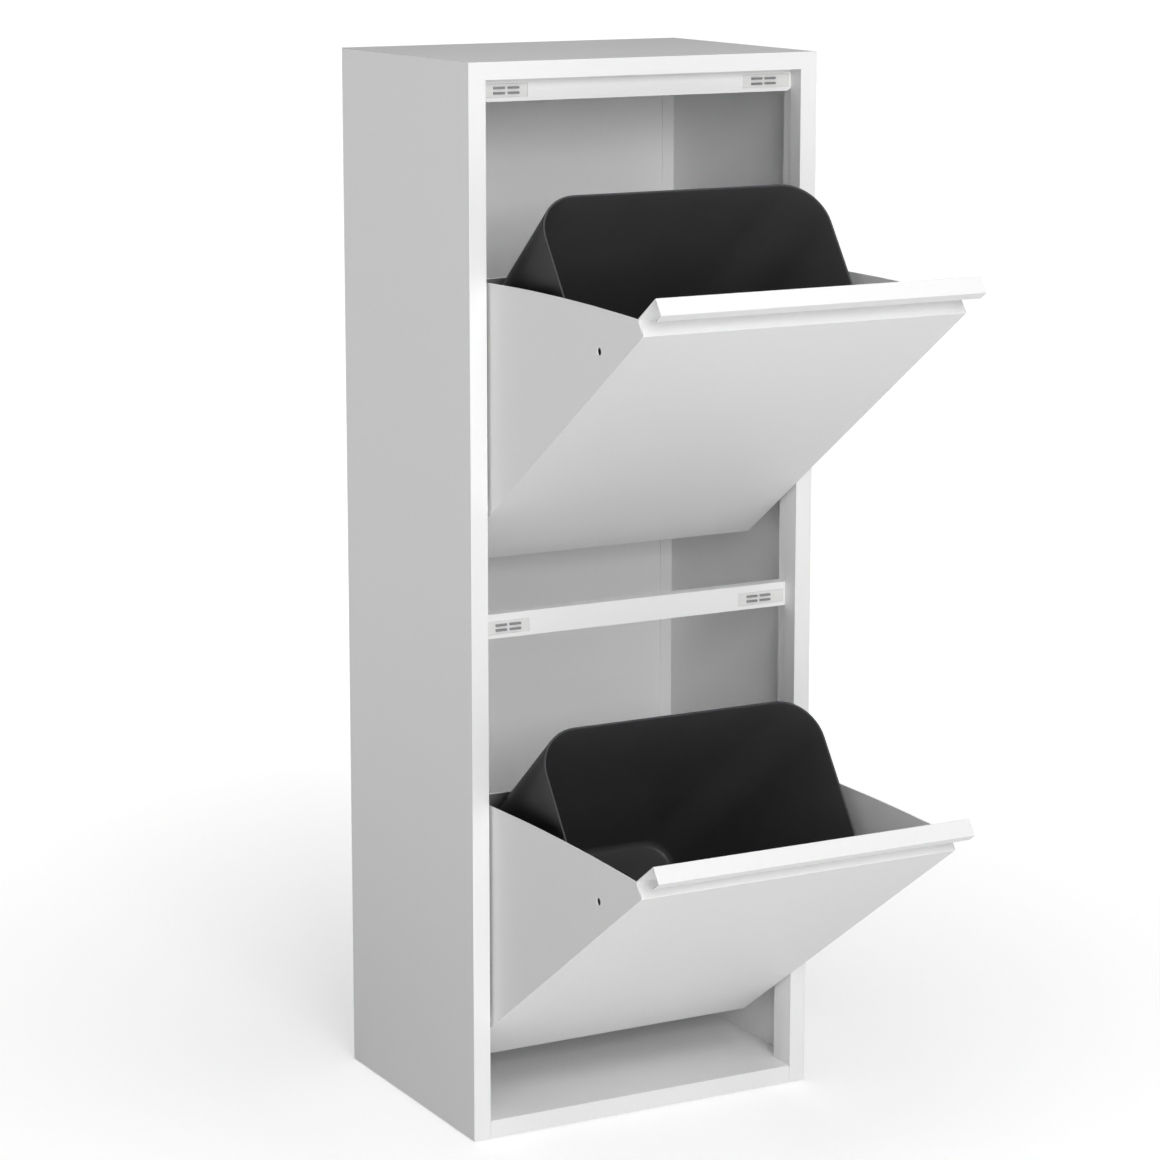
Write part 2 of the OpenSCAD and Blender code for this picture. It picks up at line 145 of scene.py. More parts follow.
class Board:
    """A node tree and the one way that nodes are put on it."""

    def __init__(self, tree):
        self.tree = tree
        tree.nodes.clear()

    def node(self, kind, settings=None, values=None, out=0):
        """Adds a node, makes its settings, fills its sockets, and returns one outlet."""
        made = self.tree.nodes.new(kind)
        for key, value in (settings or {}).items():
            if key == "items":
                while len(made.index_switch_items) < value:
                    made.index_switch_items.new()
            else:
                setattr(made, key, value)
        for key, value in (values or {}).items():
            if isinstance(value, Wire):
                self.tree.links.new(value.socket, made.inputs[key])
            else:
                made.inputs[key].default_value = value
        return Wire(self, made.outputs[out]) if len(made.outputs) else made

    def maths(self, operation, *terms):
        """A Math node on wires and numbers."""
        return self.node("ShaderNodeMath", {"operation": operation}, dict(enumerate(terms)))

    def clamp(self, value):
        """A number kept from 0 to 1."""
        return self.node("ShaderNodeClamp", {"clamp_type": "MINMAX"}, {"Value": value})

    def vector(self, x, y, z):
        """Three numbers as a vector."""
        return self.node("ShaderNodeCombineXYZ", None, {0: x, 1: y, 2: z})

    def split(self, vector):
        """A vector's three numbers."""
        x = self.node("ShaderNodeSeparateXYZ", None, {0: vector})
        return x, x.outlet(1), x.outlet(2)


# ---------------------------------------------------------------- settings


def length(name, text, default):
    """A length that a user can set."""
    return FloatProperty(name=name, description=text, default=default, min=0.0, unit="LENGTH", precision=5)


def share(name, text, default):
    """A share from 0 to 1 that a user can set."""
    return FloatProperty(name=name, description=text, default=default, min=0.0, max=1.0, subtype="FACTOR")


def colour(name, text, default):
    """A colour that a user can set."""
    return FloatVectorProperty(
        name=name, description=text, default=default, min=0.0, max=1.0, size=3, subtype="COLOR"
    )


class SheetSettings(bpy.types.PropertyGroup):
    """Edges and coat of the steel sheets."""

    fold: length("Fold radius", "Outside radius of a folded edge", 0.8 * MM)
    inner_fold: length("Inner fold radius", "Inside radius of a folded edge", 0.3 * MM)
    cut: length("Cut edge radius", "Radius that the coat gives to a cut edge", 0.16 * MM)
    coat: colour("Coat", "Colour of the powder coat", (0.90, 0.90, 0.90))
    gloss: share("Coat roughness", "Roughness of the powder coat", 0.46)
    peel: length("Orange peel", "Width of a ripple in the coat", 1.3 * MM)


class SmallPartSettings(bpy.types.PropertyGroup):
    """Colours and edges of the catches, pivots, buffers and glides."""

    edge: length("Edge radius", "Radius of the small parts' edges", 0.2 * MM)
    strip_edge: length("Strip edge", "Radius along the pole strips and magnets", 0.2 * MM)
    wing_steel: length("Wing steel", "Thickness of the sheet that a pin or buffer goes through", 1.0 * MM)
    pin_radius: length("Pin radius", "Radius of the pivot pins", 3.0 * MM)
    pin_head: length("Pin head", "Height of a pin's head", 2.0 * MM)
    pin_shoulder: length("Pin shoulder", "Height of a pin's shoulder", 0.6 * MM)
    stop_head: length("Buffer head", "Height of a buffer's head", 1.5 * MM)
    stop_edge: length("Buffer edge", "Radius of a buffer's edges", 0.8 * MM)
    stop_step: length("Buffer step", "From a buffer's body in to its narrower head", 1.0 * MM)
    rivet_head: length("Rivet head", "Height of a rivet's head", 1.0 * MM)
    rivet_grip: length("Rivet grip", "Thickness that a rivet holds", 2.0 * MM)
    glide_foot: length("Glide foot", "Height of a glide's foot", 1.5 * MM)
    moulding: colour("Moulding", "Colour of the white mouldings", (0.80, 0.80, 0.79))
    steel: colour("Pole steel", "Colour of the pole strips", (0.40, 0.40, 0.41))
    zinc: colour("Zinc", "Colour of the plated parts", (0.66, 0.67, 0.69))
    rubber: colour("Rubber", "Colour of the stop buffers", (0.025, 0.025, 0.026))
    glide: colour("Glide", "Colour of the glides", (0.16, 0.16, 0.165))


class BucketSettings(bpy.types.PropertyGroup):
    """Sizes and colour of the buckets."""

    wall: length("Wall", "Thickness of the wall", 2.0 * MM)
    rim_corner: length("Rim corner", "Corner radius at the rim", 39.0 * MM)
    base_corner: length("Base corner", "Corner radius at the base", 29.0 * MM)
    base_edge: length("Base edge", "Radius of the edge round the base", 6.0 * MM)
    around: IntProperty(name="Around", description="Steps in a quarter turn", default=16, min=8, max=48)
    plastic: colour("Plastic", "Colour of the grained outside", (0.011, 0.011, 0.0115))
    # The inside's colour is lighter than the outside's plastic: painted light, standing for an inner wall lit more
    # brightly.
    satin_with_painted_light: colour("Satin", "Colour of the satin inside", (0.078, 0.078, 0.079))
    gloss: share("Plastic roughness", "Roughness of the plastic", 0.46)


class StudioSettings(bpy.types.PropertyGroup):
    """Light, floor and camera."""

    sky: share("Sky", "Strength of the even light from above", 0.09)
    horizon: share("Horizon", "Strength of the light along the horizon", 0.80)
    haze: share("Haze", "Height of the light along the horizon, as a share of the way up", 0.06)
    backdrop: share("Backdrop", "Brightness that is seen beyond the floor", 1.0)
    key: FloatProperty(name="Key", description="Power of the front light", default=92.0, unit="POWER")
    key_place: FloatVectorProperty(
        name="Key place", description="The front light's place from the cabinet's middle",
        default=(-0.8, -3.8, 1.25), size=3, subtype="XYZ", unit="LENGTH",
    )
    key_size: length("Key size", "Width of the front light", 1.8)
    top: FloatProperty(name="Top", description="Power of the overhead light", default=46.0, unit="POWER")
    top_place: FloatVectorProperty(
        name="Top place", description="The overhead light's place from the cabinet's middle",
        default=(-0.3, -0.9, 3.0), size=3, subtype="XYZ", unit="LENGTH",
    )
    top_size: length("Top size", "Width of the overhead light", 2.6)
    floor: colour("Floor", "Colour of the floor", (0.60, 0.60, 0.60))
    floor_reach: length("Floor reach", "Half the width of the floor", 30.0)
    seen_glow: share("Seen glow", "Glow that is seen on the floor round the cabinet", 0.56)
    near_glow: share("Near glow", "Glow that lights the cabinet from the floor round it", 0.25)
    front_glow: share("Front glow", "Glow that lights the cabinet from the floor far in front", 0.30)
    back_glow: share("Back glow", "Glow that lights the cabinet from the floor far behind", 0.95)
    glow_start: length("Glow start", "Distance at which the floor's glow begins to grow", 0.3)
    glow_run: length("Glow run", "Distance over which the floor's glow grows", 1.5)
    azimuth: FloatProperty(
        name="Azimuth", description="Camera's turn to the left of the front",
        default=math.radians(28.4), subtype="ANGLE",
    )
    elevation: FloatProperty(
        name="Elevation", description="Camera's angle above the horizon",
        default=math.radians(10.95), subtype="ANGLE",
    )
    distance: length("Distance", "From the camera to the plane through the cabinet's middle", 3.127)
    aim_right: FloatProperty(
        name="Aim right", description="Aim, to the right of the cabinet's middle",
        default=-0.0667, unit="LENGTH",
    )
    aim_up: FloatProperty(
        name="Aim up", description="Aim, above the cabinet's middle", default=0.0608, unit="LENGTH"
    )
    lens: FloatProperty(name="Lens", description="Focal length in millimetres", default=111.6)
    shift: FloatProperty(name="Shift", description="Vertical shift of the lens", default=-0.04)


# ---------------------------------------------------------------- finishes


def new_finish(name):
    """A material with an empty tree."""
    material = bpy.data.materials.new(name)
    material.use_nodes = True
    return material, Board(material.node_tree)


def places(board, across=1.0):
    """The piece's own coordinates in metres, those along X times a number."""
    at = board.node("ShaderNodeTexCoord", out="Object")
    values = {"Vector": at, "Scale": (across, 1.0, 1.0)}
    return board.node("ShaderNodeMapping", {"vector_type": "POINT"}, values)


def noise(board, at, size, detail=2.0, roughness=0.5):
    """Noise whose lumps are about one size across, from 0 to 1."""
    values = {"Vector": at, "Scale": 1.0 / size, "Detail": detail, "Roughness": roughness}
    return board.node("ShaderNodeTexNoise", {"normalize": True}, values)


def mix(board, factor, dark, light):
    """Two colours mixed, each given as three numbers or as a wire."""
    settings = {"data_type": "RGBA", "clamp_factor": True}
    ends = [end if isinstance(end, Wire) else (*end, 1.0) for end in (dark, light)]
    return board.node("ShaderNodeMix", settings, {0: factor, 6: ends[0], 7: ends[1]}, out=2)


def bump(board, height, distance):
    """A normal from a height of 0 to 1, which stands for a distance."""
    return board.node("ShaderNodeBump", None, {"Height": height, "Distance": distance, "Strength": 1.0})


def surface(board, values):
    """Adds the shader and the material's output."""
    shader = board.node("ShaderNodeBsdfPrincipled", None, values)
    board.node("ShaderNodeOutputMaterial", None, {"Surface": shader})


def shade(tint, by):
    """A colour made lighter or darker."""
    return tuple(min(1.0, channel * by) for channel in tint)


def powder_coat(name, tint, roughness, peel):
    """Satin powder coat: fine orange peel, and tone and gloss that drift a little over a sheet."""
    material, board = new_finish(name)
    at = places(board)
    ripple = noise(board, at, peel, detail=1.5)
    grain = noise(board, at, peel / 5, detail=1.0)
    drift = noise(board, at, 160 * MM)
    surface(board, {
        "Base Color": mix(board, drift, shade(tint, 0.985), shade(tint, 1.01)),
        "Roughness": roughness + 0.10 * (drift - 0.5) + 0.10 * (ripple - 0.5),
        "Normal": bump(board, ripple * 0.8 + grain * 0.2, 0.012 * MM),
        "IOR": 1.5,
    })
    return material


def moulded_plastic(name, tint, roughness, grain_size):
    """Moulded plastic with a fine spark-eroded grain."""
    material, board = new_finish(name)
    at = places(board)
    grain = noise(board, at, grain_size, detail=3.0, roughness=0.6)
    drift = noise(board, at, 30 * MM)
    surface(board, {
        "Base Color": mix(board, grain, shade(tint, 0.95), shade(tint, 1.04)),
        "Roughness": roughness + 0.12 * (drift - 0.5) + 0.08 * (grain - 0.5),
        "Normal": bump(board, grain, 0.02 * MM),
        "IOR": 1.49,
    })
    return material


def bucket_plastic(name, tint, satin_with_painted_light, roughness):
    """Black polypropylene: grained outside, a smoother inside with faint flow lines that is painted lighter as
    painted light, and a painted highlight along the rim.
    """
    material, board = new_finish(name)
    at = places(board)
    grain = noise(board, at, 0.5 * MM, detail=3.0, roughness=0.6)
    flow = noise(board, places(board, across=9.0), 250 * MM, detail=3.0)
    clouds = noise(board, at, 50 * MM, detail=3.0)
    rim = board.node("ShaderNodeAttribute", {"attribute_name": "rim"}, out="Fac")
    inside = board.node("ShaderNodeAttribute", {"attribute_name": "inside"}, out="Fac")
    outer = mix(board, clouds, shade(tint, 0.85), shade(tint, 1.2))
    # The inside is painted lighter than the outside: painted light. Its satin is only the lower roughness below.
    inner = mix(board, clouds, shade(satin_with_painted_light, 0.9), shade(satin_with_painted_light, 1.1))
    body = mix(board, inside, outer, inner)
    # The band along the rim is painted much lighter than the plastic: a painted highlight.
    edge = mix(board, rim, body, shade(tint, 7.0))
    surface(board, {
        "Base Color": edge,
        "Roughness": roughness + 0.10 * (clouds - 0.5) + 0.06 * (flow - 0.5) - 0.12 * inside,
        "Specular IOR Level": 0.24,
        "Normal": bump(board, grain + 0.3 * flow, 0.02 * MM),
        "IOR": 1.5,
    })
    return material


def rolled_steel(name, tint, roughness):
    """Bright rolled strip with fine lines along its length."""
    material, board = new_finish(name)
    lines = noise(board, places(board, across=0.08), 0.15 * MM, detail=3.0)
    stain = noise(board, places(board), 4 * MM, detail=3.0)
    surface(board, {
        "Base Color": mix(board, stain, shade(tint, 0.85), shade(tint, 1.1)),
        "Metallic": 1.0,
        "Roughness": roughness + 0.16 * (lines - 0.5) + 0.08 * (stain - 0.5),
        "Normal": bump(board, lines, 0.006 * MM),
    })
    return material


def zinc_plate(name, tint, roughness):
    """Bright zinc plate with soft spangle."""
    material, board = new_finish(name)
    at = places(board)
    crystals_per_metre = 900.0
    values = {"Vector": at, "Scale": crystals_per_metre}
    spangle = board.node("ShaderNodeTexVoronoi", {"feature": "F1"}, values)
    cloud = noise(board, at, 2.5 * MM, detail=3.0)
    surface(board, {
        "Base Color": mix(board, cloud, shade(tint, 0.88), shade(tint, 1.08)),
        "Metallic": 1.0,
        "Roughness": roughness + 0.10 * (cloud - 0.5) + 0.08 * (spangle - 0.4),
        "Normal": bump(board, spangle, 0.01 * MM),
    })
    return material


def rough_block(name, tint, roughness, lump, depth):
    """Rubber or sintered ferrite: dark, matt and a little lumpy."""
    material, board = new_finish(name)
    at = places(board)
    lumps = noise(board, at, lump, detail=4.0, roughness=0.65)
    bloom = noise(board, at, 9 * MM)
    surface(board, {
        "Base Color": mix(board, bloom, shade(tint, 0.8), shade(tint, 1.5)),
        "Roughness": roughness + 0.12 * (bloom - 0.5) + 0.08 * (lumps - 0.5),
        "Normal": bump(board, lumps, depth),
    })
    return material


def finish(slot):
    """The material of one slot of the record, made when it is first asked for."""
    name = slot + "_finish"
    if name in bpy.data.materials:
        return bpy.data.materials[name]
    scene = bpy.context.scene
    sheet = scene.cabinet_sheets
    small = scene.cabinet_small_parts
    bucket = scene.cabinet_buckets
    if slot in ("cabinet_paint", "bin_paint"):
        return powder_coat(name, sheet.coat, sheet.gloss, sheet.peel)
    if slot == "white_plastic":
        return moulded_plastic(name, small.moulding, 0.42, 0.4 * MM)
    if slot == "glide_plastic":
        return moulded_plastic(name, small.glide, 0.5, 0.6 * MM)
    if slot == "bucket_plastic":
        return bucket_plastic(name, bucket.plastic, bucket.satin_with_painted_light, bucket.gloss)
    if slot == "pole_steel":
        return rolled_steel(name, small.steel, 0.42)
    if slot == "zinc_steel":
        return zinc_plate(name, small.zinc, 0.32)
    if slot == "buffer_rubber":
        return rough_block(name, small.rubber, 0.72, 0.5 * MM, 0.03 * MM)
    if slot == "magnet_ferrite":
        return rough_block(name, shade(small.rubber, 2.0), 0.6, 0.25 * MM, 0.02 * MM)
    raise RuntimeError(f"no finish is made for the slot {slot}")


# ---------------------------------------------------------------- pieces


def slot_of(node):
    """The record's material slot of a CAD node."""
    return next(s["material_slot"] for s in frame["record"]["subparts"] if s["node"] == node)


def place(name, mesh, body, node):
    """Links a mesh as a piece with its finish, which stands for a CAD node and rides on its body."""
    slot = slot_of(node)
    mesh.materials.clear()
    mesh.materials.append(finish(slot))
    piece = bpy.data.objects.new(name, mesh)
    bpy.context.scene.collection.objects.link(piece)
    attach(piece, body)
    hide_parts(node)
    return piece


def joined_copy(node):
    """A copy of a CAD node with its points merged."""
    copy = bmesh.new()
    copy.from_mesh(frame["nodes"][node].data)
    bmesh.ops.remove_doubles(copy, verts=copy.verts, dist=SAME_POINT)
    return copy


def narrowness(face):
    """About how wide a long face is."""
    return 2 * face.calc_area() / face.calc_perimeter()


def along_an_axis(edge):
    """Whether an edge runs along X, Y or Z."""
    run = (edge.verts[1].co - edge.verts[0].co).normalized()
    return max(abs(run.dot(axis)) for axis in AXES) > STRAIGHT


def edge_radius(edge, fold, inner_fold, cut):
    """The radius that an edge of a folded sheet gets, which is 0 between two narrow cut faces."""
    if len(edge.link_faces) != 2 or edge.calc_face_angle(0.0) < CREASE:
        return 0.0
    cut_faces = sum(narrowness(face) < CUT_FACE for face in edge.link_faces)
    if cut_faces:
        return cut if cut_faces == 1 else 0.0
    return fold if edge.is_convex else inner_fold


def softened(name, node, body, radius_of):
    """Makes a piece from a CAD node's copy, its flat faces whole and each edge rounded by a radius."""
    copy = joined_copy(node)
    bmesh.ops.dissolve_limit(copy, angle_limit=FLAT, verts=copy.verts, edges=copy.edges)
    radii = [radius_of(edge) for edge in copy.edges]
    widest = max(radii)
    weights = copy.edges.layers.float.new("bevel_weight_edge")
    for edge, radius in zip(copy.edges, radii):
        edge[weights] = radius / widest
        edge.smooth = radius > 0 or edge.calc_face_angle(0.0) < CREASE
    for face in copy.faces:
        face.smooth = True
    mesh = bpy.data.meshes.new(name)
    copy.to_mesh(mesh)
    copy.free()
    piece = place(name, mesh, body, node)
    rounding = piece.modifiers.new("edges", "BEVEL")
    rounding.limit_method = "WEIGHT"
    rounding.width = widest
    rounding.segments = EDGE_STEPS
    rounding.use_clamp_overlap = True
    shading = piece.modifiers.new("flats", "WEIGHTED_NORMAL")
    shading.mode = "FACE_AREA"
    shading.keep_sharp = True


def sheet_piece(node, body):
    """Makes a folded and coated sheet. The mitres of the sides and the top stay sharp."""
    sheet = bpy.context.scene.cabinet_sheets
    mitred = node.startswith(("side_", "top_"))

    def radius_of(edge):
        if mitred and not along_an_axis(edge):
            return 0.0
        return edge_radius(edge, sheet.fold, sheet.inner_fold, sheet.cut)

    softened(node + "_sheet", node, body, radius_of)


def small_piece(node, body):
    """Makes a moulded part with lightly rounded edges."""
    radius = bpy.context.scene.cabinet_small_parts.edge

    def radius_of(edge):
        sharp = len(edge.link_faces) == 2 and edge.calc_face_angle(0.0) > CREASE
        return radius if sharp else 0.0

    softened(node + "_part", node, body, radius_of)


# ---------------------------------------------------------------- grown pieces


def new_growth(name, inlets):
    """A Geometry Nodes tree, its board, and a wire for each named inlet."""
    tree = bpy.data.node_groups.new(name, "GeometryNodeTree")
    tree.interface.new_socket("Geometry", in_out="INPUT", socket_type="NodeSocketGeometry")
    for label, kind in inlets.items():
        tree.interface.new_socket(label, in_out="INPUT", socket_type="NodeSocket" + kind)
    tree.interface.new_socket("Geometry", in_out="OUTPUT", socket_type="NodeSocketGeometry")
    board = Board(tree)
    start = board.node("NodeGroupInput")
    return board, start, {label: start.outlet(label) for label in inlets}


def end_growth(board, geometry, material):
    """Makes instances real, gives them their material, and ends the tree."""
    real = board.node("GeometryNodeRealizeInstances", None, {"Geometry": geometry})
    coated = board.node("GeometryNodeSetMaterial", None, {"Geometry": real, "Material": material})
    board.node("NodeGroupOutput", None, {"Geometry": coated})
    return board.tree


def grown_mesh(name, tree, points, values):
    """Runs a tree on loose points and returns what it grows as a plain mesh."""
    seed = bpy.data.meshes.new(name)
    seed.from_pydata([tuple(point) for point in points], [], [])
    holder = bpy.data.objects.new(name, seed)
    bpy.context.scene.collection.objects.link(holder)
    growth = holder.modifiers.new("growth", "NODES")
    growth.node_group = tree
    for item in tree.interface.items_tree:
        if item.in_out == "INPUT" and item.name in values:
            growth[item.identifier] = values[item.name]
    graph = bpy.context.evaluated_depsgraph_get()
    grown = holder.evaluated_get(graph)
    mesh = bpy.data.meshes.new_from_object(grown, preserve_all_data_layers=True, depsgraph=graph)
    bpy.data.objects.remove(holder)
    return mesh


def profile_grid(board, corners, corner_radius, corner_steps, around):
    """A grid with a row for each point of a rounded profile, and what each of its points stands for.

    corners are pairs of wires or numbers, an offset and a height. Returns the grid, the share of
    the way round from 0 to 1, the offset and the height.
    """
    index = board.node("GeometryNodeInputIndex")
    stops = {i + 1: board.vector(offset, 0.0, height) for i, (offset, height) in enumerate(corners)}
    settings = {"data_type": "VECTOR", "items": len(corners)}
    corner = board.node("GeometryNodeIndexSwitch", settings, {0: index, **stops})
    line = board.node("GeometryNodeCurvePrimitiveLine", {"mode": "POINTS"})
    beads = board.node(
        "GeometryNodeResampleCurve", {"mode": "COUNT"}, {"Curve": line, "Count": len(corners)}
    )
    bent = board.node("GeometryNodeSetPosition", None, {"Geometry": beads, "Position": corner})
    rounded = board.node(
        "GeometryNodeFilletCurve", {"mode": "POLY"},
        {"Curve": bent, "Radius": corner_radius, "Limit Radius": True, "Count": corner_steps},
    )
    profile = board.node("GeometryNodeCurveToMesh", None, {"Curve": rounded})
    rows = board.node(
        "GeometryNodeAttributeDomainSize", {"component": "MESH"}, {"Geometry": profile}, out="Point Count"
    )
    grid = board.node(
        "GeometryNodeMeshGrid", None,
        {"Size X": 1.0, "Size Y": 1.0, "Vertices X": around + 1, "Vertices Y": rows},
    )
    x, y, _ = board.split(board.node("GeometryNodeInputPosition"))
    row = board.maths("ROUND", (y + 0.5) * (rows - 1.0))
    sampled = board.node(
        "GeometryNodeSampleIndex", {"data_type": "FLOAT_VECTOR", "domain": "POINT"},
        {"Geometry": profile, "Value": board.node("GeometryNodeInputPosition"), "Index": row},
    )
    offset, _, height = board.split(sampled)
    return grid, x + 0.5, offset, height


def joined(board, geometry):
    """A grown mesh with its points merged."""
    values = {"Geometry": geometry, "Distance": SAME_GROWN_POINT}
    return board.node("GeometryNodeMergeByDistance", None, values)


def set_on_points(board, points, shape, turn):
    """A shape on each point, turned."""
    values = {"Points": points, "Instance": shape, "Rotation": turn}
    return board.node("GeometryNodeInstanceOnPoints", None, values)


def closed_shell(board, grid, position):
    """A grid bent to its positions, with its seams and poles closed and its faces smooth."""
    bent = board.node("GeometryNodeSetPosition", None, {"Geometry": grid, "Position": position})
    closed = joined(board, bent)
    return board.node("GeometryNodeSetShadeSmooth", None, {"Geometry": closed, "Shade Smooth": True})


def stud_tree():
    """A turned stud on each point: head, neck, collar and tail, turned to its direction."""
    sizes = (
        "Head radius", "Head height", "Neck radius", "Neck length",
        "Collar radius", "Collar length", "Tail radius", "Tail length", "Edge radius",
    )
    inlets = {**{label: "Float" for label in sizes}, "Turn": "Vector", "Material": "Material"}
    board, start, given = new_growth("turned_stud", inlets)
    collar_top = 0.0 - given["Neck length"]
    collar_end = collar_top - given["Collar length"]
    tail_end = collar_end - given["Tail length"]
    corners = [
        (0.0, tail_end),
        (given["Tail radius"], tail_end),
        (given["Tail radius"], collar_end),
        (given["Collar radius"], collar_end),
        (given["Collar radius"], collar_top),
        (given["Neck radius"], collar_top),
        (given["Neck radius"], 0.0),
        (given["Head radius"], 0.0),
        (given["Head radius"], given["Head height"]),
        (0.0, given["Head height"]),
    ]
    grid, turn, radius, height = profile_grid(
        board, corners, given["Edge radius"], STUD_CORNER_STEPS, STUD_STEPS
    )
    angle = turn * math.tau
    position = board.vector(
        radius * board.maths("COSINE", angle), radius * board.maths("SINE", angle), height
    )
    stud = closed_shell(board, grid, position)
    return end_growth(board, set_on_points(board, start, stud, given["Turn"]), given["Material"])


def bar_tree():
    """A flat bar on each point, with rounded long edges, its length along X and its depth along Y."""
    inlets = {"Length": "Float", "Thickness": "Float", "Depth": "Float", "Edge radius": "Float"}
    board, start, given = new_growth("flat_bar", {**inlets, "Material": "Material"})
    outline = board.node(
        "GeometryNodeCurvePrimitiveQuadrilateral", {"mode": "RECTANGLE"},
        {"Width": given["Length"], "Height": given["Thickness"]},
    )
    rounded = board.node(
        "GeometryNodeFilletCurve", {"mode": "POLY"},
        {"Curve": outline, "Radius": given["Edge radius"], "Limit Radius": True, "Count": EDGE_STEPS},
    )
    face = board.node("GeometryNodeFillCurve", {"mode": "NGONS"}, {"Curve": rounded})
    pulled = board.node(
        "GeometryNodeExtrudeMesh", {"mode": "FACES"},
        {"Mesh": face, "Offset Scale": given["Depth"], "Individual": False},
    )
    back = board.node("GeometryNodeFlipFaces", None, {"Mesh": face})
    bar = board.node("GeometryNodeJoinGeometry")
    for part in (pulled, back):
        board.tree.links.new(part.socket, bar.socket.node.inputs[0])
    bars = set_on_points(board, start, joined(board, bar), (math.radians(-90), 0.0, 0.0))
    return end_growth(board, bars, given["Material"])


def bucket_tree():
    """A tapered bucket with round corners, a round rim and a closed floor, standing on its point."""
    sizes = (
        "Rim half width", "Rim half depth", "Side taper", "Front taper", "Rear taper", "Height",
        "Wall", "Rim corner", "Base corner", "Base edge",
    )
    others = {"Steps": "Int", "Tilt": "Vector", "Material": "Material"}
    board, start, given = new_growth("tapered_bucket", {**{label: "Float" for label in sizes}, **others})
    wall = given["Wall"]
    tall = given["Height"]
    edge = given["Base edge"]
    taper = 0.5 * (given["Front taper"] + given["Rear taper"])
    floor_half = given["Rim half depth"] - taper
    inner_half = floor_half + taper * wall / tall
    # A spare point near each corner keeps the rows straight up to where the rounding starts.
    hold = 2.5 * edge
    corners = [
        (floor_half, 0.0), (hold, 0.0), (0.0, 0.0), (0.0, hold), (0.0, tall - hold), (0.0, tall),
        (wall, tall), (wall, tall - hold), (wall, hold), (wall, wall), (hold, wall), (inner_half, wall),
    ]
    index = board.node("GeometryNodeInputIndex")
    # Corners 5 and 6 get a radius of nearly half the wall, which makes the rim round. Corners 2
    # and 9 are the outer and inner edge of the base.
    at_rim = board.maths("COMPARE", index, 5.5, 0.6)
    at_edge = board.maths("COMPARE", index, 2.0, 0.1) + board.maths("COMPARE", index, 9.0, 0.1)
    radius = at_rim * (wall * 0.49) + at_edge * edge
    steps = given["Steps"]
    grid, turn, inset, height = profile_grid(board, corners, radius, BUCKET_CORNER_STEPS, steps * 4.0)
    # A quarter turn: half a straight side, the corner's arc, half of the next side. Each straight
    # takes two steps, a long one and a short one beside the arc.
    quarter = board.maths("MINIMUM", board.maths("FLOOR", turn * 4.0 + 0.0001), 3.0)
    way = turn * 4.0 - quarter
    step = 1.0 / steps
    long_step = 0.93
    short_step = 0.07
    taken = way / step
    left = (1.0 - way) / step
    leaving = board.clamp(taken) * long_step + board.clamp(taken - 1.0) * short_step
    arriving = board.clamp(left) * long_step + board.clamp(left - 1.0) * short_step
    bend = board.clamp((way - 2.0 * step) / (1.0 - 4.0 * step))
    angle = (quarter + bend) * (math.pi / 2)
    centre = (quarter + 0.5) * (math.pi / 2)
    odd = board.maths("MODULO", quarter, 2.0)
    along_x = odd * leaving + (1.0 - odd) * arriving
    along_y = odd * arriving + (1.0 - odd) * leaving
    down = 1.0 - height / tall
    corner = board.maths(
        "MAXIMUM", given["Rim corner"] + down * (given["Base corner"] - given["Rim corner"]) - inset, 0.0
    )
    half_x = given["Rim half width"] - down * given["Side taper"] - inset
    half_y = given["Rim half depth"] - down * taper - inset
    sign_x = board.maths("SIGN", board.maths("COSINE", centre))
    sign_y = board.maths("SIGN", board.maths("SINE", centre))
    x = sign_x * (half_x - corner) * along_x + corner * board.maths("COSINE", angle)
    y = sign_y * (half_y - corner) * along_y + corner * board.maths("SINE", angle)
    lean = down * 0.5 * (given["Front taper"] - given["Rear taper"])
    # The band along the rim is marked so that the finish paints a highlight there.
    rim_highlight_band = wall * 0.6
    rim = board.clamp((height - tall) / rim_highlight_band + 1.0)
    marked = board.node(
        "GeometryNodeStoreNamedAttribute", {"data_type": "FLOAT", "domain": "POINT"},
        {"Geometry": grid, "Name": "rim", "Value": rim},
    )
    # The inner rows are marked: the finish paints them lighter, as painted light, and makes them smoother.
    nearly_wall = wall * 0.9
    past_wall = board.maths("GREATER_THAN", inset, nearly_wall)
    inner_rows = past_wall * board.maths("GREATER_THAN", height, nearly_wall)
    lined = board.node(
        "GeometryNodeStoreNamedAttribute", {"data_type": "FLOAT", "domain": "POINT"},
        {"Geometry": marked, "Name": "inside", "Value": inner_rows},
    )
    shell = closed_shell(board, lined, board.vector(x, y + lean, height))
    return end_growth(board, set_on_points(board, start, shell, given["Tilt"]), given["Material"])


def island_boxes(node):
    """The box of each loose part of a CAD node, from left to right and from low to high."""
    copy = joined_copy(node)
    unseen = set(copy.verts)
    boxes = []
    for vert in copy.verts:
        if vert not in unseen:
            continue
        unseen.discard(vert)
        island = [vert]
        for reached in island:
            for edge in reached.link_edges:
                other = edge.other_vert(reached)
                if other in unseen:
                    unseen.discard(other)
                    island.append(other)
        low = Vector([min(v.co[i] for v in island) for i in range(3)])
        high = Vector([max(v.co[i] for v in island) for i in range(3)])
        boxes.append((low, high))
    copy.free()
    return sorted(boxes, key=lambda box: (round(box[0].x, 4), round(box[0].z, 4), round(box[0].y, 4)))


def grow(name, tree, body, node, points, values):
    """Grows one piece on points, in place of a CAD node."""
    values = {**values, "Material": finish(slot_of(node))}
    place(name, grown_mesh(name, tree, points, values), body, node)


